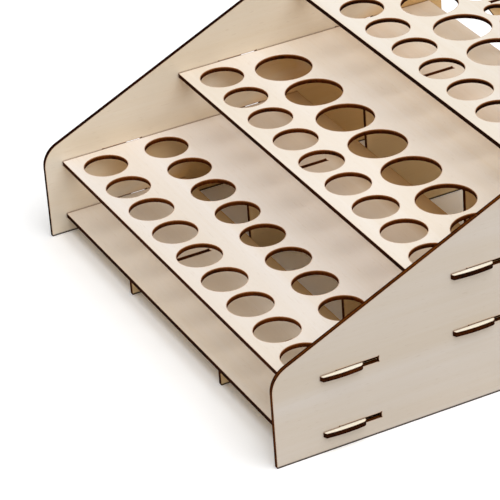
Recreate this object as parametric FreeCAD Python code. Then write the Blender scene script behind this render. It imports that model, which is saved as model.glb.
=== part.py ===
"""Stepped bottle and brush rack of thin plywood sheets, held together by slide-lock hooks.

Frame: X to the right, Y to the back, Z up. The origin is on the floor, under the middle of the rack.
Every sheet is one solid, in millimetres. The rack's front faces -Y.
"""
import math
import os

import FreeCAD
import Part
from FreeCAD import Vector

# ---- driving dimensions -------------------------------------------------------------------------
SHEET = 2.8                # plywood sold as 3 mm
INNER_WIDTH = 285.0        # between the inner faces of the side panels
PANEL_DEPTH = 271.2        # front to back, side panels
FRONT_MARGIN = 11.4        # side panel's front edge to the first deck's front edge
TIER_DEPTH = 79.3          # front edge of one deck to the front edge of the next
TIER_RISE = 35.0           # top of one deck to the top of the next
BASE_TOP = 12.6            # top of the base deck above the floor
BASE_OVERHANG = 1.0        # the base deck reaches this far in front of the first deck
RISER_SETBACK = 1.6        # a riser stands this far in front of the next deck's front edge
PLAY = 0.1                 # gap between two sheets that meet face to face or edge to face
SIDE_PLAY = 0.2            # gap between a deck's side edge and the side panel
OVERLAP = 1.0              # shapes that are fused reach this far into each other

# side panel outline
PANEL_FRONT_TOP = 55.5     # where the front edge and the slanted edge would meet
PANEL_SLOPE = 0.453        # rise over run of the slanted edge
PANEL_ROUND = 15.0         # radius of both upper corners

# hooks seen from above; "out" is away from the panel's face, "in" is forward of the hook's rear end
HOOK_COLUMNS = (16.6, 96.4, 176.2, 216.0)   # front tip of each hook behind the first deck's front edge
HOOK_LENGTH = 25.1
HOOK_REACH = 3.1           # how far a hook stands out at the middle of its bowed edge
NECK_LENGTH = 15.35        # the part of a hook that passes through the slot
NOSE_OUT = 2.1             # blunt front tip
NOSE_BACK = 0.9
HEEL_OUT = 2.7             # where the bowed edge starts to turn in at the rear
HEEL_IN = 2.4
TURN_OUT = 1.9
TURN_IN = 0.7
SLOT_LENGTH = 25.4
SLOT_PLAY_BELOW = 0.05     # the decks rest on the bottom of their slots
SLOT_PLAY_ABOVE = 0.35
NECK_PLAY = 0.1            # in front of the neck
CORNER_PIT = 0.35          # radius of the pit that the laser burns at each corner of a slot

# bottle and brush holes
SMALL_RADIUS = 13.0
SMALL_PITCH = 30.84
SMALL_COUNT = 9
LARGE_RADIUS = 17.0
LARGE_PITCH = 37.8
LARGE_COUNT = 7
BRUSH_RADIUS = 7.5
BRUSH_PITCH = 18.5
BRUSHES_BETWEEN_SUPPORTS = 6
BRUSHES_OUTSIDE_SUPPORT = 4
BRUSH_GAP_AT_SUPPORT = 22.7

# hole rows, behind their own deck's front edge
FRONT_ROW = 19.4
SECOND_SMALL_ROW = 59.0
LARGE_ROW = 55.4
BRUSH_ROW = 83.4

# supports
SUPPORT_X = 56.6           # middle plane of each support, left and right of the rack's middle
TAB_LENGTH = 25.0          # tabs that stand up into the decks
TAB_PLAY = 0.1             # all round a tab in its slot
TOP_TAB_LENGTH = 11.0
TOP_TAB_START = 245.4      # behind the first deck's front edge
TOP_SLOT_START = 243.9
GUSSET_REACH = 9.4         # the last riser leans forward this far under the top deck
GUSSET_DROP = 14.0
LAST_RISER_WIDTH = 8.6     # column between the second deck's rear edge and the rack's back

# ---- worked out ---------------------------------------------------------------------------------
TIERS = 4                  # base deck, first, second and top deck
TOP = TIERS - 1
BACK = PANEL_DEPTH / 2
DECK_FRONT = FRONT_MARGIN - BACK            # Y of the first deck's front edge
DECK_TOPS = [BASE_TOP + TIER_RISE * tier for tier in range(TIERS)]
DECK_FRONTS = [DECK_FRONT - BASE_OVERHANG] + [DECK_FRONT + TIER_DEPTH * tier for tier in range(TOP)]
RISERS = [
    DECK_FRONTS[2] - RISER_SETBACK,
    DECK_FRONTS[3] - RISER_SETBACK,
    BACK - LAST_RISER_WIDTH,
]
DECK_BACKS = [riser - PLAY for riser in RISERS] + [BACK]
PANEL_INNER = INNER_WIDTH / 2
PANEL_OUTER = PANEL_INNER + SHEET
DECK_HALF = PANEL_INNER - SIDE_PLAY


def prism(points, direction):
    """A flat sheet: a closed outline through points, made thick along direction."""
    return Part.Face(Part.makePolygon(points + points[:1])).extrude(direction)


def box(x, y, z):
    """A box from three (low, high) pairs."""
    size = [high - low for low, high in (x, y, z)]
    return Part.makeBox(*size, Vector(x[0], y[0], z[0]))


def slot_cutters(spans, through):
    """A slot to cut: the box of its (low, high) spans and round pits at its corners, along axis through."""
    low, high = spans[through]
    direction = [0, 0, 0]
    direction[through] = 1
    cutters = [box(*spans)]
    across, up = [axis for axis in range(3) if axis != through]
    for a in spans[across]:
        for b in spans[up]:
            foot = [low, low, low]
            foot[across] = a
            foot[up] = b
            cutters.append(Part.makeCylinder(CORNER_PIT, high - low, Vector(*foot), Vector(*direction)))
    return cutters


def write(shape, node):
    """Saves one sheet as one solid under its node's name."""
    solids = shape.Solids
    assert shape.isValid() and len(solids) == 1, node
    solids[0].exportStep(f"parts/{node}.step")
    print(f"{node:18s} {solids[0].Volume / 1000:8.2f} cm3")


# ---- hooks --------------------------------------------------------------------------------------
def neck_front(column):
    """Y where the neck of the hooks in that column starts."""
    return DECK_FRONT + HOOK_COLUMNS[column] + HOOK_LENGTH - NECK_LENGTH


def hook_outline(column):
    """A hook on the right-hand side seen from above: neck through the panel, bowed head outside it."""
    tip = DECK_FRONT + HOOK_COLUMNS[column]
    rear = tip + HOOK_LENGTH
    root = DECK_HALF - OVERLAP
    face = PANEL_OUTER + PLAY
    nose = Vector(face + NOSE_OUT, tip + NOSE_BACK, 0)
    crown = Vector(face + HOOK_REACH, tip + HOOK_LENGTH / 2, 0)
    heel = Vector(face + HEEL_OUT, rear - HEEL_IN, 0)
    turn = Vector(face + TURN_OUT, rear - TURN_IN, 0)
    end = Vector(face, rear, 0)
    corners = [
        end,
        Vector(root, rear, 0),
        Vector(root, neck_front(column), 0),
        Vector(face, neck_front(column), 0),
        Vector(face, tip, 0),
        nose,
    ]
    edges = [Part.makeLine(a, b) for a, b in zip(corners, corners[1:])]
    edges.append(Part.Arc(nose, crown, heel).toShape())
    edges.append(Part.Arc(heel, turn, end).toShape())
    return Part.Wire(edges)


def hooks(tier, columns):
    """The hooks of one deck on both sides."""
    found = []
    for column in columns:
        right = Part.Face(hook_outline(column)).extrude(Vector(0, 0, SHEET))
        right.translate(Vector(0, 0, DECK_TOPS[tier] - SHEET))
        found.append(right)
        found.append(right.mirror(Vector(0, 0, 0), Vector(1, 0, 0)))
    return found


# ---- decks --------------------------------------------------------------------------------------
def even_row(count, pitch):
    """X of count holes spread evenly about the middle."""
    return [(i - (count - 1) / 2) * pitch for i in range(count)]


def brush_row():
    """X of the brush holes: a group between the supports and one outside each of them."""
    between = even_row(BRUSHES_BETWEEN_SUPPORTS, BRUSH_PITCH)
    first_outside = between[-1] + BRUSH_GAP_AT_SUPPORT
    outside = [first_outside + BRUSH_PITCH * i for i in range(BRUSHES_OUTSIDE_SUPPORT)]
    return [-x for x in reversed(outside)] + between + outside


def tab_span(tier):
    """(from, to) in Y of a support's tab: in the middle of the tread that it carries."""
    if tier == TOP:
        start = DECK_FRONT + TOP_TAB_START
        return start, start + TOP_TAB_LENGTH
    tread_front = DECK_FRONTS[tier + 1] if tier else DECK_FRONT
    middle = (tread_front + DECK_BACKS[tier]) / 2
    return middle - TAB_LENGTH / 2, middle + TAB_LENGTH / 2


def slot_span(tier):
    """(from, to) in Y of the slot for that tab."""
    start, end = tab_span(tier)
    if tier == TOP:
        return DECK_FRONT + TOP_SLOT_START, end + TAB_PLAY
    return start - TAB_PLAY, end + TAB_PLAY


def deck(tier, columns, rows):
    """One deck: a sheet with hooks in those columns, rows of (row, radius, hole xs) and two slots."""
    top = DECK_TOPS[tier]
    through = (top - 2 * SHEET, top + SHEET)
    plate = box((-DECK_HALF, DECK_HALF), (DECK_FRONTS[tier], DECK_BACKS[tier]), (top - SHEET, top))
    plate = plate.fuse(hooks(tier, columns)).removeSplitter()
    cutters = []
    for row, radius, xs in rows:
        for x in xs:
            foot = Vector(x, DECK_FRONTS[tier] + row, through[0])
            cutters.append(Part.makeCylinder(radius, through[1] - through[0], foot))
    half = SHEET / 2 + TAB_PLAY
    for middle in (-SUPPORT_X, SUPPORT_X):
        cutters += slot_cutters([(middle - half, middle + half), slot_span(tier), through], 2)
    return plate.cut(cutters)


SMALL_ROW_XS = even_row(SMALL_COUNT, SMALL_PITCH)
FRONT_HOLES = (FRONT_ROW, SMALL_RADIUS, SMALL_ROW_XS)
SECOND_SMALL_HOLES = (SECOND_SMALL_ROW, SMALL_RADIUS, SMALL_ROW_XS)
LARGE_HOLES = (LARGE_ROW, LARGE_RADIUS, even_row(LARGE_COUNT, LARGE_PITCH))
BRUSH_HOLES = (BRUSH_ROW, BRUSH_RADIUS, brush_row())
COLUMNS_OF_TIER = ([0], [0, 1], [1, 2], [2, 3])


# ---- side panels --------------------------------------------------------------------------------
def slant_z(y):
    """Height of the slanted edge at y."""
    return PANEL_FRONT_TOP + PANEL_SLOPE * (y + BACK)


def on_round(centre, angle):
    """A point on a rounded corner, at that angle in the YZ plane."""
    return centre + Vector(0, math.cos(angle), math.sin(angle)) * PANEL_ROUND


def panel_outline():
    """Side panel's outline in the YZ plane: both upper corners are rounded onto the slanted edge."""
    drop = PANEL_ROUND * math.hypot(1, PANEL_SLOPE)      # from the slanted edge down to a round's centre
    front_y = -BACK + PANEL_ROUND
    rear_y = BACK - PANEL_ROUND
    front_centre = Vector(0, front_y, slant_z(front_y) - drop)
    rear_centre = Vector(0, rear_y, slant_z(rear_y) - drop)
    normal = math.pi / 2 + math.atan(PANEL_SLOPE)        # square to the slanted edge
    start = on_round(front_centre, math.pi)
    front_middle = on_round(front_centre, (math.pi + normal) / 2)
    end = on_round(front_centre, normal)
    rise = on_round(rear_centre, normal)
    rear_middle = on_round(rear_centre, normal / 2)
    fall = on_round(rear_centre, 0)
    foot_front = Vector(0, -BACK, 0)
    foot_rear = Vector(0, BACK, 0)
    return Part.Wire([
        Part.makeLine(foot_front, start),
        Part.Arc(start, front_middle, end).toShape(),
        Part.makeLine(end, rise),
        Part.Arc(rise, rear_middle, fall).toShape(),
        Part.makeLine(fall, foot_rear),
        Part.makeLine(foot_rear, foot_front),
    ])


def side_panel(side):
    """side is -1 for the left panel and +1 for the right one."""
    inner = side * PANEL_INNER
    outline = panel_outline()
    outline.translate(Vector(inner, 0, 0))
    panel = Part.Face(outline).extrude(Vector(side * SHEET, 0, 0))
    across = sorted((inner - side * SHEET, inner + 2 * side * SHEET))
    slots = []
    for top, columns in zip(DECK_TOPS, COLUMNS_OF_TIER):
        for column in columns:
            start = neck_front(column) - NECK_PLAY
            height = (top - SHEET - SLOT_PLAY_BELOW, top + SLOT_PLAY_ABOVE)
            slots += slot_cutters([across, (start, start + SLOT_LENGTH), height], 0)
    return panel.cut(slots)


# ---- supports -----------------------------------------------------------------------------------
def support(middle):
    """Stair-shaped upright: it stands on the floor and carries every deck from below."""
    left = middle - SHEET / 2
    undersides = [top - SHEET for top in DECK_TOPS]
    profile = [(DECK_FRONT, 0), (DECK_FRONT, undersides[0])]
    for riser, below, above in zip(RISERS[:-1], undersides, undersides[1:]):
        profile.append((riser, below))
        profile.append((riser, above))
    profile.append((RISERS[-1], undersides[-2]))
    profile.append((RISERS[-1], undersides[-1] - GUSSET_DROP))
    profile.append((RISERS[-1] - GUSSET_REACH, undersides[-1]))
    profile.append((BACK, undersides[-1]))
    profile.append((BACK, 0))
    body = prism([Vector(left, y, z) for y, z in profile], Vector(SHEET, 0, 0))
    tabs = []
    for tier, top in enumerate(DECK_TOPS):
        tabs.append(box((left, left + SHEET), tab_span(tier), (top - SHEET - OVERLAP, top - PLAY)))
    return body.fuse(tabs).removeSplitter()


# ---- all pieces ---------------------------------------------------------------------------------
os.makedirs("parts", exist_ok=True)
write(deck(0, COLUMNS_OF_TIER[0], []), "base_deck")
write(deck(1, COLUMNS_OF_TIER[1], [FRONT_HOLES, SECOND_SMALL_HOLES]), "first_deck")
write(deck(2, COLUMNS_OF_TIER[2], [FRONT_HOLES, LARGE_HOLES]), "second_deck")
write(deck(3, COLUMNS_OF_TIER[3], [FRONT_HOLES, LARGE_HOLES, BRUSH_HOLES]), "top_deck")
write(side_panel(-1), "left_side_panel")
write(side_panel(1), "right_side_panel")
write(support(-SUPPORT_X), "left_support")
write(support(SUPPORT_X), "right_support")
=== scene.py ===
# %% [markdown]
# # A stepped rack of laser-cut plywood
#
# The object is a desk rack for paint bottles and brushes. Eight flat sheets of thin birch plywood are cut
# by a laser and hooked together: four decks, two side panels and two stair-shaped supports. Nothing on it
# is bent, turned or padded, so every shape is already right in the CAD model. What is left for Blender is
# how it looks: pale veneer with a faint grain, and charred cut edges.
#
# The frame is the imported CAD model: one object for each sheet, in metres, with the floor at Z = 0, X to
# the right and Y to the back.

# %% Load the rack
from math import cos, pi, radians, sin

import bpy
from mathutils import Matrix, Vector


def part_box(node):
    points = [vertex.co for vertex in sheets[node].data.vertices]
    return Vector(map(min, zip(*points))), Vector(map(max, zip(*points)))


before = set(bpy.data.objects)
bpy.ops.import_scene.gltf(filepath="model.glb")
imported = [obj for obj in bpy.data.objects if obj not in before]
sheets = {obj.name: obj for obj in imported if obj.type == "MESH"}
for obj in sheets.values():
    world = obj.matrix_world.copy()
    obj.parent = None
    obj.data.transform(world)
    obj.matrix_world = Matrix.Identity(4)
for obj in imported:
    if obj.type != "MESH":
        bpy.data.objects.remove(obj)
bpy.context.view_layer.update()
print("sheets:", ", ".join(sorted(sheets)))

# %% [markdown]
# ## The camera
#
# The rack is seen from the front right and from above, with a long lens from far off, which keeps parallel
# sheets nearly parallel. Azimuth is the angle round the rack from its front, elevation the angle above the
# table. A camera looks along its own minus Z, so its Z axis points back from the rack to the lens. It could
# be aimed by a constraint, but a constraint keeps it level, and this camera is rolled by a few degrees, as
# one held by hand. So its three axes are worked out and put side by side in a matrix.

# %% Place the camera
LOOK_AT = Vector((-0.0370, -0.0564, 0.0167))
DISTANCE = 1.741
AZIMUTH = radians(64.91)
ELEVATION = radians(30.454)
ROLL = radians(4.393)
SENSOR_WIDTH = 36.0
LENS = 217.78
CLIP_END = 50

backwards = Vector((sin(AZIMUTH) * cos(ELEVATION), -cos(AZIMUTH) * cos(ELEVATION), sin(ELEVATION)))
level_right = Vector((cos(AZIMUTH), sin(AZIMUTH), 0))
level_up = backwards.cross(level_right)
camera_right = cos(ROLL) * level_right - sin(ROLL) * level_up
camera_up = sin(ROLL) * level_right + cos(ROLL) * level_up

camera_data = bpy.data.cameras.new("camera")
camera_data.lens = LENS
camera_data.sensor_width = SENSOR_WIDTH
camera_data.clip_end = CLIP_END
camera = bpy.data.objects.new("camera", camera_data)
turned = Matrix((camera_right, camera_up, backwards)).transposed()
camera.matrix_world = Matrix.Translation(LOOK_AT + DISTANCE * backwards) @ turned.to_4x4()
bpy.context.scene.collection.objects.link(camera)
bpy.context.scene.camera = camera
print("camera at", [round(c, 4) for c in camera.matrix_world.translation])

# %% [markdown]
# ## Colours
#
# A screen brightens dark colours by a curve, and a shader reckons with plain amounts of light. So a colour
# that is chosen on a screen goes through the curve the other way before it enters a material. A tint
# is another thing: it is what a colour is multiplied by, and stays as it is.

# %% Helpers: colours
def display(red, green, blue):
    """A colour as a screen shows it, from 0 to 255, as amounts of light from 0 to 1."""
    def light(value):
        value /= 255
        if value <= 0.04045:  # the screen's curve starts straight
            return value / 12.92
        return ((value + 0.055) / 1.055) ** 2.4
    return (light(red), light(green), light(blue), 1.0)


def tint(red, green, blue):
    """What a colour is multiplied by."""
    return (red, green, blue, 1.0)


WHITE = tint(1.0, 1.0, 1.0)
print("the middle grey of a screen is this much light:", round(display(128, 128, 128)[0], 3))

# %% [markdown]
# ## Small helpers for materials
#
# A material in Blender is a graph: boxes called nodes, joined by links from outputs to inputs. Written out
# link by link, a graph fills pages. These helpers make one node each and hand back its output, so a recipe
# for wood can be read from top to bottom like a sum.

# %% Helpers: sums
X, Y, Z = 0, 1, 2


def add(tree, kind, **settings):
    """A new node of that kind."""
    node = tree.nodes.new("ShaderNode" + kind)
    for name, value in settings.items():
        setattr(node, name, value)
    return node


def feed(tree, socket, value):
    """Puts a number, a colour or another node's output into an input."""
    if isinstance(value, bpy.types.NodeSocket):
        tree.links.new(value, socket)
    else:
        socket.default_value = value


def reckon(tree, operation, *values):
    """One step of arithmetic."""
    node = add(tree, "Math", operation=operation)
    for socket, value in zip(node.inputs, values):
        feed(tree, socket, value)
    return node.outputs["Value"]


def one_axis(tree, vector, axis):
    """One of a vector's three numbers."""
    node = add(tree, "SeparateXYZ")
    feed(tree, node.inputs["Vector"], vector)
    return node.outputs[axis]


def rescale(tree, value, from_low, from_high, to_low, to_high):
    """Maps a span of values onto another and holds whatever is outside at its ends."""
    node = add(tree, "MapRange", clamp=True)
    for name, number in (
        ("Value", value),
        ("From Min", from_low),
        ("From Max", from_high),
        ("To Min", to_low),
        ("To Max", to_high),
    ):
        feed(tree, node.inputs[name], number)
    return node.outputs["Result"]


def weighed(tree, first, second, share):
    """The mean of two numbers, in which the first counts for that share."""
    first_part = reckon(tree, "MULTIPLY", first, share)
    second_part = reckon(tree, "MULTIPLY", second, 1 - share)
    return reckon(tree, "ADD", first_part, second_part)


print("helpers for sums: add, feed, reckon, one_axis, rescale, weighed")

# %% Helpers: mixtures
# A Mix node has its sockets once for each kind of data, under the same names, so they are taken by number.
NUMBERS_IN, NUMBER_OUT = (2, 3), 0
COLOURS_IN, COLOUR_OUT = (6, 7), 2


def mixed(tree, node, amount, both, sockets, result):
    """Feeds a Mix node and hands back its result."""
    feed(tree, node.inputs["Factor"], amount)
    for socket, value in zip(sockets, both):
        feed(tree, node.inputs[socket], value)
    return node.outputs[result]


def choose(tree, amount, first, second):
    """Two numbers mixed: amount 0 is the first, 1 is the second."""
    node = add(tree, "Mix", data_type="FLOAT")
    return mixed(tree, node, amount, (first, second), NUMBERS_IN, NUMBER_OUT)


def mix(tree, amount, first, second, blend="MIX"):
    """Two colours mixed: amount 0 is the first, 1 is the second."""
    node = add(tree, "Mix", data_type="RGBA", blend_type=blend)
    return mixed(tree, node, amount, (first, second), COLOURS_IN, COLOUR_OUT)


def tinted(tree, colour, by):
    """A colour multiplied by a tint."""
    return mix(tree, 1.0, colour, by, "MULTIPLY")


print("helpers for mixing: choose, mix, tinted")

# %% [markdown]
# ## Patterns
#
# Wood figure could come from an image wrapped round each sheet, but an image blurs close up, and each sheet
# would have to be unwrapped for it. Noise gives every point of space a number, so it stays sharp and runs
# through the whole sheet as real wood does. A point's place is counted from the sheet's own origin, so the
# figure rides along when a panel slides. Squeezing that place more along one axis than along the others
# turns round blots into streaks.

# %% Helpers: patterns
def stretch(tree, place, figure, axis, shift):
    """A place squeezed for a pattern: so many to a metre, and so many times longer along one axis."""
    per_metre, longer = figure
    scale = [per_metre] * 3
    scale[axis] = per_metre / longer
    node = add(tree, "Mapping")
    feed(tree, node.inputs["Vector"], place)
    node.inputs["Scale"].default_value = scale
    node.inputs["Location"].default_value = shift
    return node.outputs["Vector"]


def noise(tree, place, detail=2.0, roughness=0.5, distortion=0.0):
    """Soft random hills between 0 and 1."""
    node = add(tree, "TexNoise")
    feed(tree, node.inputs["Vector"], place)
    node.inputs["Scale"].default_value = 1.0
    node.inputs["Detail"].default_value = detail
    node.inputs["Roughness"].default_value = roughness
    node.inputs["Distortion"].default_value = distortion
    return node.outputs["Fac"]


def shifted(seed, step):
    """How far the noise is moved for a sheet, so that no two sheets repeat the same figure."""
    return tuple(seed * distance for distance in step)


print("helpers for patterns: stretch, noise, shifted")

# %% [markdown]
# ## Birch veneer
#
# The broad faces are rotary-cut birch: a very pale, even wood. Its grain shows as faint streaks that run
# the long way of the sheet, its growth rings as wide soft bands, its pores as tiny darker dashes, and its
# tone drifts in clouds. All four are noise that is stretched along the grain, each at its own real size, so
# the wood looks right from arm's length and from close up.

# %% Values: birch veneer
PALE_BIRCH = display(243, 235, 226)
WARM_BIRCH = display(237, 225, 209)
PORE_BROWN = display(176, 145, 108)
VENEER_STEP = (3.7, 5.3, 7.1)  # how far the noise is moved from one sheet to the next

# How many of each lie across a metre, and how many times longer each is along the grain.
STREAKS = (520, 60)
RINGS = (42, 14)
CLOUDS = (11, 2)
PORES = (1500, 9)

# The spans of the noise that matter, and what they are mapped onto.
STREAK_SHARE = 0.3
FIGURE_SPAN = (0.34, 0.66)
CLOUD_SPAN = (0.3, 0.7)
CLOUD_SHADES = (1.02, 0.95)
PORE_SPAN = (0.66, 0.78)
PORE_STRENGTH = 0.16
STREAK_RELIEF = 0.35
PORE_RELIEF = 0.8
ROUGHNESS_SPAN = (0.3, 0.7)
VENEER_ROUGHNESS = (0.62, 0.74)
print("a streak is", round(1000 / STREAKS[0], 1), "mm wide, a pore", round(1000 / PORES[0], 2), "mm")

# %% [markdown]
# Here and there sits a pin knot, a brown dot of a millimetre or two. Placing them by hand would take
# hundreds of numbers. Instead, space is divided into cells with a point in each: one cell in ten has a
# knot, and the distance to its point says how dark the wood is.

# %% Recipe: pin knots
KNOT_BROWN = display(96, 58, 30)
KNOT_CELLS = (24, 1)  # so many to a metre, and as long as they are wide
CELLS_WITHOUT = 0.9
KNOT_CORE, KNOT_RIM = 0.008, 0.022  # in cells
KNOT_STRENGTH = 0.8


def pin_knots(tree, place, shift):
    """How strongly a place is browned by a pin knot."""
    cells = add(tree, "TexVoronoi", feature="F1")
    feed(tree, cells.inputs["Vector"], stretch(tree, place, KNOT_CELLS, X, shift))
    cells.inputs["Scale"].default_value = 1.0
    chance = add(tree, "SeparateColor")
    feed(tree, chance.inputs["Color"], cells.outputs["Color"])
    here = reckon(tree, "GREATER_THAN", chance.outputs["Red"], CELLS_WITHOUT)
    spot = rescale(tree, cells.outputs["Distance"], KNOT_CORE, KNOT_RIM, KNOT_STRENGTH, 0)
    return reckon(tree, "MULTIPLY", spot, here)


print("a pin knot is", round(2000 * KNOT_RIM / KNOT_CELLS[0], 1), "mm across")

# %% Recipe: birch veneer
def birch(tree, place, seed, grain_axis):
    """Colour, height in tenths of a millimetre and roughness of the veneer at a place."""
    shift = shifted(seed, VENEER_STEP)

    def pattern(figure, **settings):
        return noise(tree, stretch(tree, place, figure, grain_axis, shift), **settings)

    streaks = pattern(STREAKS, detail=4, roughness=0.65)
    rings = pattern(RINGS, detail=2, distortion=0.6)
    clouds = pattern(CLOUDS, detail=2)
    pores = pattern(PORES, detail=1)

    figure = rescale(tree, weighed(tree, streaks, rings, STREAK_SHARE), *FIGURE_SPAN, 0, 1)
    colour = mix(tree, figure, PALE_BIRCH, WARM_BIRCH)
    colour = tinted(tree, colour, rescale(tree, clouds, *CLOUD_SPAN, *CLOUD_SHADES))
    pore = rescale(tree, pores, *PORE_SPAN, 0, PORE_STRENGTH)
    colour = mix(tree, pore, colour, PORE_BROWN)
    colour = mix(tree, pin_knots(tree, place, shift), colour, KNOT_BROWN)

    raised = reckon(tree, "MULTIPLY", streaks, STREAK_RELIEF)
    sunk = reckon(tree, "MULTIPLY", pore, PORE_RELIEF)
    height = reckon(tree, "SUBTRACT", raised, sunk)
    roughness = rescale(tree, streaks, *ROUGHNESS_SPAN, *VENEER_ROUGHNESS)
    return colour, height, roughness


print("veneer recipe, from", [round(c, 2) for c in PALE_BIRCH], "to", [round(c, 2) for c in WARM_BIRCH])

# %% [markdown]
# ## The charred cut
#
# A laser burns its way through plywood, so every edge and the wall of every hole is dark brown, with fine
# stripes where the beam pulsed along. The three plies show as bands: the core ply lies across the other
# two, chars less and stays golden in places. A sheet's outline is nearly black, partly as painted shade on
# edges that face away from the lamp. Its holes are browner, partly as painted bounce light off the pale
# deck, with a lighter lip at the top. The bands could be cut into the mesh as strips, but nothing needs
# cutting: a point's depth in the sheet says which ply it is in.

# %% Values: charred cut
CHAR_BLACK = display(24, 7, 1)
CHAR_BROWN = display(78, 29, 3)
CORE_GOLD = display(146, 82, 14)
LIP_TAN = display(190, 122, 66)
CHAR_STEP = (2.3, 4.9, 6.1)  # how far the noise is moved from one sheet to the next

# How many lie along a metre of the cut, and how many times longer each is through the sheet.
STRIPES = (1900, 30)
SCORCH = (90, 1)
STRIPE_SHARE = 0.5
BURN_SPAN = (0.36, 0.64)

# Depths run from 0 at one face to 1 at the other.
CORE_PLY = (0.30, 0.70)
GLUE_LINE = 0.035
GLUE_STRENGTH = 0.6
LIP_SPAN = (0.66, 0.94)
LIP_STRENGTH = 0.8
CORE_RELIEF = 0.4
CHAR_RELIEF = 0.9
print("stripes on a cut are", round(1000 / STRIPES[0], 2), "mm wide")

# %% Recipe: charred cut
def plies(tree, depth):
    """How far a depth is in the core ply, and how far in one of the two lines of glue beside it."""
    low, high = CORE_PLY
    half = (high - low) / 2
    from_middle = reckon(tree, "ABSOLUTE", reckon(tree, "SUBTRACT", depth, (low + high) / 2))
    core = rescale(tree, from_middle, half - GLUE_LINE, half + GLUE_LINE, 1, 0)
    from_glue = reckon(tree, "ABSOLUTE", reckon(tree, "SUBTRACT", from_middle, half))
    return core, rescale(tree, from_glue, 0, GLUE_LINE, GLUE_STRENGTH, 0)


def char(tree, place, depth, seed, through_axis, gold, outline, burns):
    """Colour and height of a laser cut.

    Gold is what the core keeps. Outline is 1 on the sheet's outline and 0 in its holes, and burns are how
    light the char stays on each: partly painted shade on the outline and painted bounce light in the holes.
    """
    shift = shifted(seed, CHAR_STEP)
    stripes = noise(tree, stretch(tree, place, STRIPES, through_axis, shift), detail=2, roughness=0.6)
    scorch = noise(tree, stretch(tree, place, SCORCH, through_axis, shift), detail=3, roughness=0.6)
    light = rescale(tree, weighed(tree, stripes, scorch, STRIPE_SHARE), *BURN_SPAN, 0, 1)
    core, glue = plies(tree, depth)

    outer = mix(tree, light, CHAR_BLACK, CHAR_BROWN)
    inner = mix(tree, light, CHAR_BROWN, CORE_GOLD)
    colour = mix(tree, reckon(tree, "MULTIPLY", core, gold), outer, inner)
    colour = mix(tree, glue, colour, CHAR_BLACK)
    # Partly painted: a darker outline stands for shade, lighter holes for bounce light off the deck.
    outline_burn, hole_burn = burns
    colour = tinted(tree, colour, rescale(tree, outline, 0, 1, hole_burn, outline_burn))
    lip = rescale(tree, depth, *LIP_SPAN, 0, LIP_STRENGTH)
    in_hole = reckon(tree, "SUBTRACT", 1, outline)
    colour = mix(tree, reckon(tree, "MULTIPLY", lip, in_hole), colour, LIP_TAN)

    raised_core = reckon(tree, "MULTIPLY", core, CORE_RELIEF)
    height = reckon(tree, "MULTIPLY", reckon(tree, "ADD", stripes, raised_core), CHAR_RELIEF)
    return colour, height


print("cut recipe, with glue lines at", CORE_PLY, "of the depth")

# %% [markdown]
# ## Which way the sheets lie
#
# Decks lie flat: their thickness runs along Z and their grain along X, the long way. Panels and supports
# stand on edge: their thickness runs along X and their grain along Y. The two side panels stand at the same
# distance from the middle, so the right one's faces do for both.

# %% Sort the sheets
DECKS = ("base_deck", "first_deck", "second_deck", "top_deck")
UPRIGHTS = ("left_side_panel", "right_side_panel", "left_support", "right_support")
INNER_FACE, OUTER_FACE = (corner.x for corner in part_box("right_side_panel"))


def lies(name):
    """The axes of a sheet's grain and of its thickness."""
    return (X, Z) if name in DECKS else (Y, X)


print("between the side panels:", round(2000 * INNER_FACE, 1), "mm")

# %% [markdown]
# ## Outline or hole
#
# Outline and holes are charred differently, partly as painted shade on the outline and painted bounce light
# in the holes, and a face's direction can't tell them apart. Its place can: a deck is a rectangle between
# the side panels, and whatever lies on that rectangle's rim or beyond it belongs to the outline or to a
# hook. A sheet on edge has only slots, and they are as dark as its outline.

# %% Tell the outline from the holes
RIM = 0.0005


def on_outline(tree, place, name):
    """1 along a deck's sides and round its hooks, 0 in its holes; 1 all over a sheet on edge."""
    if name not in DECKS:
        return 1.0
    lowest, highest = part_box(name)
    beyond = []
    for axis, low, high in ((X, -INNER_FACE, INNER_FACE), (Y, lowest.y, highest.y)):
        from_middle = reckon(tree, "SUBTRACT", one_axis(tree, place, axis), (low + high) / 2)
        distance = reckon(tree, "ABSOLUTE", from_middle)
        beyond.append(reckon(tree, "GREATER_THAN", distance, (high - low) / 2 - RIM))
    return reckon(tree, "MAXIMUM", *beyond)


print("the outline's rim is", 1000 * RIM, "mm wide")

# %% [markdown]
# ## The hooks
#
# A deck's hooks pass through slots in the side panels. In the slot the neck is darkened as painted shade,
# deep between the slot's walls, and what sticks out is painted a little brighter than the deck, as painted
# light on hooks that stand in the open. The hooks belong to the deck's sheet and have no object of their
# own, so they are told apart by how far from the middle they are.

# %% Recipe: hooks
# Painted shade for the neck inside the slot, painted light for the hook outside it.
SLOT_SHADE = display(64, 38, 20)
HOOK_LIGHT = tint(1.05, 1.10, 1.06)


def with_hooks(tree, place, deck_colour, bare_wood):
    """A deck's colour with its hooks: painted shade where they pass through the side panels, painted light
    outside them.
    """
    from_middle = reckon(tree, "ABSOLUTE", one_axis(tree, place, X))
    in_slot = reckon(tree, "GREATER_THAN", from_middle, INNER_FACE)
    outside = reckon(tree, "GREATER_THAN", from_middle, OUTER_FACE)
    colour = mix(tree, in_slot, deck_colour, SLOT_SHADE)
    return mix(tree, outside, colour, tinted(tree, bare_wood, HOOK_LIGHT))
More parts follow.
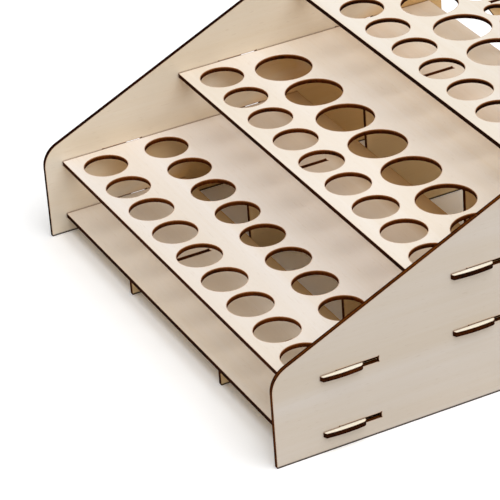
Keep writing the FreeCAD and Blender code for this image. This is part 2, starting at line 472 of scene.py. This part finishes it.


# %% [markdown]
# ## Smoke and painted shade
#
# Smoke from the cut leaves a thin tan line along every edge. Where two sheets meet, a dark line of painted
# shade is added, and the wood within a millimetre or so of the table is darkened as a painted contact
# shadow, found by height. The lines could be painted by hand along hundreds of edges. The Ambient Occlusion
# node finds the others
# by itself: it measures how open a point's surroundings are. Turned inside out, it looks into the wood, and
# falls to a half at a sharp edge. The right way out, it falls where two sheets meet.

# %% Recipe: smoke and painted shade
# This brown serves for real smoke along the edges and for painted shade where two sheets meet.
SMOKE_AND_SHADE_BROWN = display(112, 62, 24)
SMOKE_TAN = display(228, 166, 96)
EDGE_REACH = 0.0008
CREVICE_REACH = 0.001
CORNER_SAMPLES = 4
CORNER = 0.55  # just above how open a right-angled corner is, which is a half
HAZE_ENDS, HAZE_STRENGTH = 0.95, 0.4
SMOKE_ENDS, SMOKE_STRENGTH = 0.67, 0.7
# Painted shade in creases: where it ends and how dark it gets.
CREASE_SHADE_ENDS, CREASE_SHADE_STRENGTH = 0.9, 0.7
# Painted contact shadow: the wood darkens towards black within a millimetre or so of the table.
FOOT_SHADE_FULL, FOOT_SHADE_ENDS, FOOT_SHADE_STRENGTH = 0.0006, 0.0013, 0.95


def openness(tree, reach, **settings):
    """1 where nothing is within reach, down to a half in a corner; inside looks into the sheet."""
    node = add(tree, "AmbientOcclusion", samples=CORNER_SAMPLES, **settings)
    node.inputs["Distance"].default_value = reach
    return node.outputs["AO"]


def smoked_and_shaded(tree, place, colour):
    """A face's colour with smoke along its edges, painted shade in its corners and a painted contact shadow
    where it stands.
    """
    wood_left = openness(tree, EDGE_REACH, inside=True, only_local=True)
    haze = rescale(tree, wood_left, CORNER, HAZE_ENDS, HAZE_STRENGTH, 0)
    smoke = rescale(tree, wood_left, CORNER, SMOKE_ENDS, SMOKE_STRENGTH, 0)
    # Painted shade: a dark line where two sheets meet, found by how shut in a point is.
    crease_shade = rescale(tree, openness(tree, CREVICE_REACH), CORNER, CREASE_SHADE_ENDS, CREASE_SHADE_STRENGTH, 0)
    # Painted contact shadow along the foot of every sheet.
    foot_shade = rescale(tree, one_axis(tree, place, Z), FOOT_SHADE_FULL, FOOT_SHADE_ENDS, FOOT_SHADE_STRENGTH, 0)
    colour = mix(tree, haze, colour, SMOKE_TAN)
    colour = mix(tree, reckon(tree, "MAXIMUM", smoke, crease_shade), colour, SMOKE_AND_SHADE_BROWN)
    return mix(tree, foot_shade, colour, CHAR_BLACK)


print("smoke reaches", 1000 * EDGE_REACH, "mm in from an edge")

# %% [markdown]
# ## Painted shade
#
# On this rack the wood in plain sight is pale. Behind and under the steps, and on the side panels' inner
# faces in the shut-in bays, it is tinted browner as painted shade, and yellower as painted warm bounce
# light. The tint could be a second material, but that would draw a hard edge. Here it grows in slowly. It is
# described by
# directions: the tint grows along each of them from one distance to another, and the growths are multiplied,
# so it is full only where all of them are.

# %% Recipe: painted shade
BROWN_SHADE = tint(0.74, 0.57, 0.35)
YELLOW_SHADE = tint(1.0, 0.76, 0.44)
PALE_SHADE = tint(0.83, 0.77, 0.69)
PALEST_SHADE = tint(0.92, 0.87, 0.82)
FORWARDS, BACKWARDS = (0, -1, 0), (0, 1, 0)
DOWNWARDS, UPWARDS = (0, 0, -1), (0, 0, 1)


def painted_shade(tree, place, on_high_face, shading):
    """The tint of painted shade. A shading is its face, its growths (direction, begins, full) and its tint.
    """
    high_face, growths, brown = shading
    amount = on_high_face if high_face else reckon(tree, "SUBTRACT", 1, on_high_face)
    for direction, begins, full in growths:
        along = add(tree, "VectorMath", operation="DOT_PRODUCT")
        feed(tree, along.inputs[0], place)
        along.inputs[1].default_value = direction
        grown = rescale(tree, along.outputs["Value"], begins, full, 0, 1)
        amount = reckon(tree, "MULTIPLY", amount, grown)
    return mix(tree, amount, WHITE, brown)


def behind(name, begins, full, brown, gone=None):
    """Painted shade on a deck's upper face: it begins, is full and is gone that far behind the front edge.
    """
    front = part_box(name)[0].y
    growths = [(BACKWARDS, front + begins, front + full)]
    if gone:
        growths.append((FORWARDS, -front - gone, -front - gone + full - begins))
    return (True, growths, brown)


# %% [markdown]
# The side panels are painted yellower, as warm bounce light, well below a sloping line that follows the
# steps, and browner, as painted shade, in two bays, each between the deck that is its floor and the deck
# that is its roof. The line goes through the point where the second deck's front edge stands over the first
# deck, and rises from step to step.

# %% Place the painted shade of the side panels
first_lowest, first_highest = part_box("first_deck")
second_lowest, second_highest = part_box("second_deck")
STEP_SLOPE = (second_highest.z - first_highest.z) / (second_lowest.y - first_lowest.y)
BELOW_LINE, FULL_BELOW = 0.014, 0.030

# The floor and roof of each bay, how far behind the roof's front edge its tint begins and is full, the tint
# of painted shade.
BAYS = (
    ("base_deck", "first_deck", 0.0, 0.040, tint(0.95, 0.80, 0.58)),
    ("first_deck", "second_deck", 0.020, 0.070, tint(0.85, 0.67, 0.42)),
)
REAR_FADE = 0.012
FLOOR_BEGINS, FLOOR_FULL = 0.004, 0.018
ROOF_FADE = 0.001


def under_steps(high_face):
    """Painted bounce light and painted shade on a side panel's inner face, below the steps and in the bays.
    """
    corner = STEP_SLOPE * second_lowest.y - first_highest.z
    below_line = ((0, STEP_SLOPE, -1), corner + BELOW_LINE, corner + FULL_BELOW)
    shadings = [(high_face, [below_line], YELLOW_SHADE)]
    for floor_deck, roof_deck, begins, full, brown in BAYS:
        bottom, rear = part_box(floor_deck)[1].z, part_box(floor_deck)[1].y
        front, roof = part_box(roof_deck)[0].y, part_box(roof_deck)[0].z
        growths = [
            (BACKWARDS, front + begins, front + full),
            (FORWARDS, -rear - REAR_FADE, -rear),
            (UPWARDS, bottom + FLOOR_BEGINS, bottom + FLOOR_FULL),
            (DOWNWARDS, -roof - ROOF_FADE, -roof),
        ]
        shadings.append((high_face, growths, brown))
    return shadings


print("the steps rise by", round(100 * STEP_SLOPE), "mm in 100")

# %% [markdown]
# ## One sheet's material
#
# Each sheet gets a material of its own. Two finishes meet in it, veneer and char, and the direction in
# which a surface faces tells them apart: a face looks along the sheet's thickness, a cut looks across it.
# So no face has to be picked by hand, and every hole and slot gets its charred wall by itself.

# %% Build a sheet's material
CUT_BELOW = 0.5  # how squarely a face looks along the thickness, from 0 to 1
HIGH_ABOVE = 0.5  # the depth at the middle of the sheet
CHAR_ROUGHNESS = 0.95
SPECULAR = 0.04
BUMP_DEPTH = 0.0001
BUMP_STRENGTH = 0.6


def face_colour(tree, place, depth, name, look, bare_wood):
    """The veneer's colour with the sheet's own tones, its painted shade tints and hooks, and smoke and
    painted shade at its edges, creases and foot.
    """
    on_high_face = reckon(tree, "GREATER_THAN", depth, HIGH_ABOVE)
    colour = tinted(tree, bare_wood, mix(tree, on_high_face, look["low"], look["high"]))
    for shading in look["shadings"]:
        colour = tinted(tree, colour, painted_shade(tree, place, on_high_face, shading))
    if name in DECKS:
        colour = with_hooks(tree, place, colour, bare_wood)
    return smoked_and_shaded(tree, place, colour)


def sheet_material(name, seed, look):
    """Birch plywood for one sheet."""
    grain_axis, through_axis = lies(name)
    lowest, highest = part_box(name)
    material = bpy.data.materials.new(name + "_birch_ply")
    material.use_nodes = True
    tree = material.node_tree
    tree.nodes.clear()
    shader = add(tree, "BsdfPrincipled")
    output = add(tree, "OutputMaterial")
    tree.links.new(shader.outputs["BSDF"], output.inputs["Surface"])

    place = add(tree, "TexCoord").outputs["Object"]
    true_normal = add(tree, "NewGeometry").outputs["True Normal"]
    facing = reckon(tree, "ABSOLUTE", one_axis(tree, true_normal, through_axis))
    is_cut = reckon(tree, "LESS_THAN", facing, CUT_BELOW)
    through = one_axis(tree, place, through_axis)
    depth = rescale(tree, through, lowest[through_axis], highest[through_axis], 0, 1)

    bare_wood, wood_height, wood_roughness = birch(tree, place, seed, grain_axis)
    wood_colour = face_colour(tree, place, depth, name, look, bare_wood)
    outline = on_outline(tree, place, name)
    char_colour, char_height = char(
        tree, place, depth, seed, through_axis, look["gold"], outline, look["burns"]
    )
    feed(tree, shader.inputs["Base Color"], mix(tree, is_cut, wood_colour, char_colour))
    feed(tree, shader.inputs["Roughness"], choose(tree, is_cut, wood_roughness, CHAR_ROUGHNESS))
    shader.inputs["Specular IOR Level"].default_value = SPECULAR

    bump = add(tree, "Bump")
    bump.inputs["Distance"].default_value = BUMP_DEPTH
    bump.inputs["Strength"].default_value = BUMP_STRENGTH
    feed(tree, bump.inputs["Height"], choose(tree, is_cut, wood_height, char_height))
    tree.links.new(bump.outputs["Normal"], shader.inputs["Normal"])
    return material


print("a height of 1 in the relief is", 1000 * BUMP_DEPTH, "mm")

# %% [markdown]
# ## Dress the eight sheets
#
# The sheets come from different boards, so each has its own tone, and each of its two faces is a veneer of
# its own. The base deck's upper face is made darker still, as painted shade from the first deck above it.
# Low and high are the faces with the lower and the higher X or Z. The decks are yellow underneath and the
# supports yellow-brown, partly as painted warm bounce light in the shade under the steps. The side panels
# are cool grey outside, darkened partly as painted shade, and warm inside, partly as painted bounce light
# off the decks. Gold is how golden the core ply stays in the cuts.
# Burns are how light the char is on the outline and in the holes, partly as painted shade and painted bounce
# light: the lower the number, the blacker the cut.

# %% Give each sheet its material
# Partly painted light: the yellow backing and inner tones stand for warm bounce light in the bays, the
# darker grey for shade on the panels' outer faces.
BACKING = tint(1.0, 0.78, 0.42)
INNER = tint(0.97, 0.80, 0.52)
GREYER = tint(0.765, 0.74, 0.715)
WARMER = tint(0.975, 0.935, 0.85)

LOOKS = {
    # The base deck's high face is darker as painted shade from the first deck above it.
    "base_deck": {
        "low": BACKING, "high": tint(0.885, 0.865, 0.83), "gold": 0.1, "burns": (0.45, 1.0),
        "shadings": [behind("base_deck", begins=0.056, full=0.074, brown=BROWN_SHADE)],
    },
    "first_deck": {
        "low": BACKING, "high": tint(0.97, 0.96, 0.96), "gold": 0.15, "burns": (0.7, 1.25),
        "shadings": [
            behind("first_deck", begins=0.102, full=0.110, brown=PALE_SHADE),
            behind("first_deck", begins=0.131, full=0.144, brown=BROWN_SHADE),
        ],
    },
    "second_deck": {
        "low": BACKING, "high": tint(1.0, 0.985, 0.96), "gold": 0.1, "burns": (0.5, 1.1),
        "shadings": [behind("second_deck", begins=0.102, full=0.110, brown=PALEST_SHADE, gone=0.137)],
    },
    "top_deck": {
        "low": BACKING, "high": tint(0.97, 0.96, 0.93), "gold": 0.1, "burns": (0.3, 0.4), "shadings": [],
    },
    "left_side_panel": {
        "low": GREYER, "high": WARMER, "gold": 0.0, "burns": (0.35, 0.35), "shadings": under_steps(True),
    },
    "right_side_panel": {
        "low": WARMER, "high": GREYER, "gold": 0.55, "burns": (0.85, 0.85), "shadings": under_steps(False),
    },
    "left_support": {"low": INNER, "high": INNER, "gold": 0.2, "burns": (0.7, 0.7), "shadings": []},
    "right_support": {"low": INNER, "high": INNER, "gold": 0.2, "burns": (0.7, 0.7), "shadings": []},
}

for seed, name in enumerate(DECKS + UPRIGHTS, 1):
    material = sheet_material(name, seed, LOOKS[name])
    sheet = sheets[name]
    for index in range(len(sheet.material_slots)):
        sheet.material_slots[index].material = material
    grain_axis, through_axis = lies(name)
    thickness = 1000 * (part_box(name)[1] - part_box(name)[0])[through_axis]
    print(f"{name}: {thickness:.1f} mm ply, grain along {'XY'[grain_axis]}")

# %% [markdown]
# ## The table top
#
# The rack stands on a wide white table top that runs out of view on all sides. White paper under a studio
# lamp comes out a little grey. More lamp light would burn out the pale wood, so the table is made a shade
# paler only where it is seen directly: the Light Path node tells such a ray from light that bounces. The
# shadow stays.

# %% Floor
FLOOR_HALF = 12.0
FLOOR_WHITE = 0.86
FLOOR_SEEN = 1.09


def seen_directly(tree):
    """1 for what the camera, a mirror or clear glass shows, 0 for light that bounces."""
    path = add(tree, "LightPath")
    seen = reckon(tree, "MAXIMUM", path.outputs["Is Camera Ray"], path.outputs["Is Glossy Ray"])
    return reckon(tree, "MAXIMUM", seen, path.outputs["Is Transmission Ray"])


floor_mesh = bpy.data.meshes.new("floor")
corners = [(x * FLOOR_HALF, y * FLOOR_HALF, 0) for x, y in ((-1, -1), (1, -1), (1, 1), (-1, 1))]
floor_mesh.from_pydata(corners, [], [(0, 1, 2, 3)])
floor = bpy.data.objects.new("floor", floor_mesh)
bpy.context.scene.collection.objects.link(floor)

table_top = bpy.data.materials.new("white_table_top")
table_top.use_nodes = True
tree = table_top.node_tree
tree.nodes.clear()
matt = add(tree, "BsdfDiffuse")
feed(tree, matt.inputs["Color"], rescale(tree, seen_directly(tree), 0, 1, FLOOR_WHITE, FLOOR_SEEN))
surface = add(tree, "OutputMaterial")
tree.links.new(matt.outputs["BSDF"], surface.inputs["Surface"])
floor_mesh.materials.append(table_top)
print("floor:", 2 * FLOOR_HALF, "m square")

# %% [markdown]
# ## The light
#
# One big soft lamp high on the right, slightly behind the rack, does most of the work. It is a sun, because
# a sun keeps the table equally bright far out, and its wide disc gives the soft shadows of a studio lamp.
# The white surroundings fill in the rest. They shine less near the horizon than overhead, which keeps the
# insides of the bays dark, and they are drawn at a strength of 1, plain white, where they are seen
# directly.

# %% Lamp
SUN_TOWARDS = Vector((0.50, 0.14, 1.0))
SUN_STRENGTH = 1.75
SUN_DISC = radians(55)

sun_data = bpy.data.lights.new("big_soft_lamp", "SUN")
sun_data.energy = SUN_STRENGTH
sun_data.angle = SUN_DISC
sun = bpy.data.objects.new("big_soft_lamp", sun_data)
sun.rotation_euler = SUN_TOWARDS.to_track_quat("Z", "Y").to_euler()
bpy.context.scene.collection.objects.link(sun)
print("lamp on a level face:", round(SUN_STRENGTH * SUN_TOWARDS.normalized().z / pi, 2))

# %% Surroundings
SKY_OVERHEAD = 0.62
SKY_AT_HORIZON = 0.25
OVERHEAD_FROM = 0.6

world = bpy.data.worlds.new("white_surroundings")
bpy.context.scene.world = world
world.use_nodes = True
tree = world.node_tree
tree.nodes.clear()
sky = add(tree, "Background")
sky.inputs["Color"].default_value = WHITE
direction = add(tree, "TexCoord").outputs["Generated"]
fill = rescale(tree, one_axis(tree, direction, Z), 0, OVERHEAD_FROM, SKY_AT_HORIZON, SKY_OVERHEAD)
feed(tree, sky.inputs["Strength"], rescale(tree, seen_directly(tree), 0, 1, fill, 1.0))
surroundings = add(tree, "OutputWorld")
tree.links.new(sky.outputs["Background"], surroundings.inputs["Surface"])
bpy.context.scene.view_settings.view_transform = "Standard"
print("surroundings:", SKY_AT_HORIZON, "at the horizon,", SKY_OVERHEAD, "overhead")
